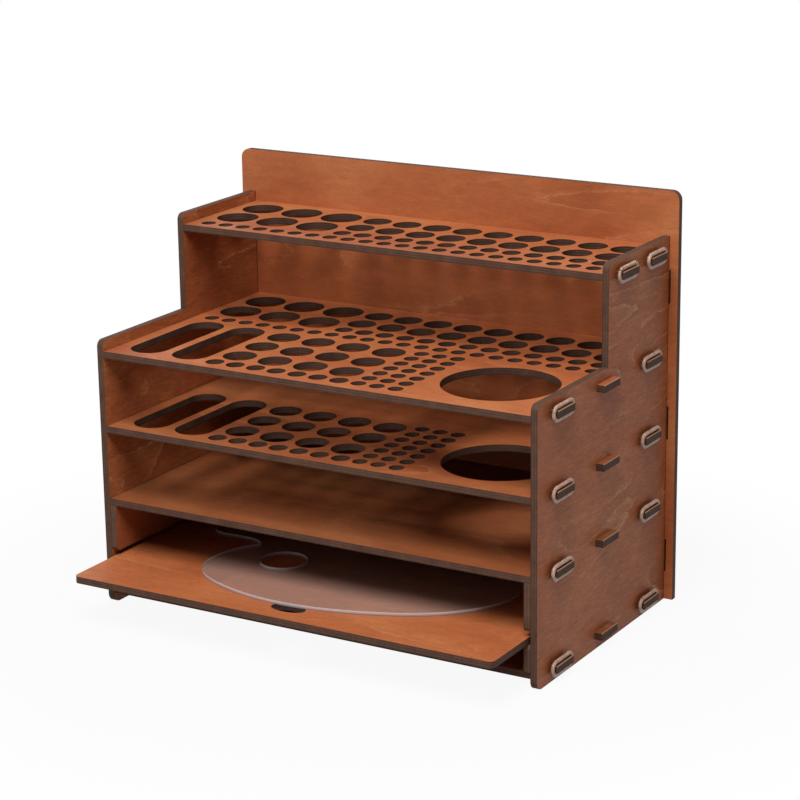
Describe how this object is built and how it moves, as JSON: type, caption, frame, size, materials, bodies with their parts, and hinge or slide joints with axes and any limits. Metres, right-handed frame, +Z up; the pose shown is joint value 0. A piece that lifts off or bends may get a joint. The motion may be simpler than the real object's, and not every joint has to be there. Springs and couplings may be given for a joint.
{
  "type": "hobby workstation organizer",
  "caption": "Stepped plywood desk organizer with perforated racks for bottles and brushes, a shelf, a pull-out tray and a palette.",
  "frame": {"origin": "bottom centre of the bounding box, on the surface that the organizer stands on", "axes": "+X to the right as seen from the front, +Y to the back, +Z up; the tray pulls out along -Y"},
  "size_m": [0.436, 0.309, 0.36],
  "materials": {
    "stained_plywood": "satin stained birch plywood with laser-burnt edges",
    "rubber_band": "matt tan natural rubber",
    "frosted_acrylic": "frosted translucent acrylic sheet"
  },
  "bodies": {
    "case": {"left_side_panel": "stained_plywood", "right_side_panel": "stained_plywood", "back_panel": "stained_plywood", "base_board": "stained_plywood", "shelf_board": "stained_plywood", "lower_rack": "stained_plywood", "middle_rack": "stained_plywood", "top_rack": "stained_plywood", "left_lower_runner": "stained_plywood", "left_upper_runner": "stained_plywood", "right_lower_runner": "stained_plywood", "right_upper_runner": "stained_plywood", "base_board_left_bands": "rubber_band", "shelf_board_left_bands": "rubber_band", "lower_rack_left_bands": "rubber_band", "middle_rack_left_bands": "rubber_band", "top_rack_left_bands": "rubber_band", "back_left_bands": "rubber_band", "base_board_right_bands": "rubber_band", "shelf_board_right_bands": "rubber_band", "lower_rack_right_bands": "rubber_band", "middle_rack_right_bands": "rubber_band", "top_rack_right_bands": "rubber_band", "back_right_bands": "rubber_band"},
    "tray": {"slide_tray": "stained_plywood"},
    "palette": {"palette": "frosted_acrylic"}
  },
  "joints": [
    {"name": "tray_slide", "type": "slide", "parent": "case", "child": "tray", "axis": [0, -1, 0], "range_m": [-0.058, 0.102]},
    {"name": "palette_slide", "type": "slide", "parent": "tray", "child": "palette", "axis": [0, -1, 0], "range_m": [-0.004, 0.024]}
  ]
}
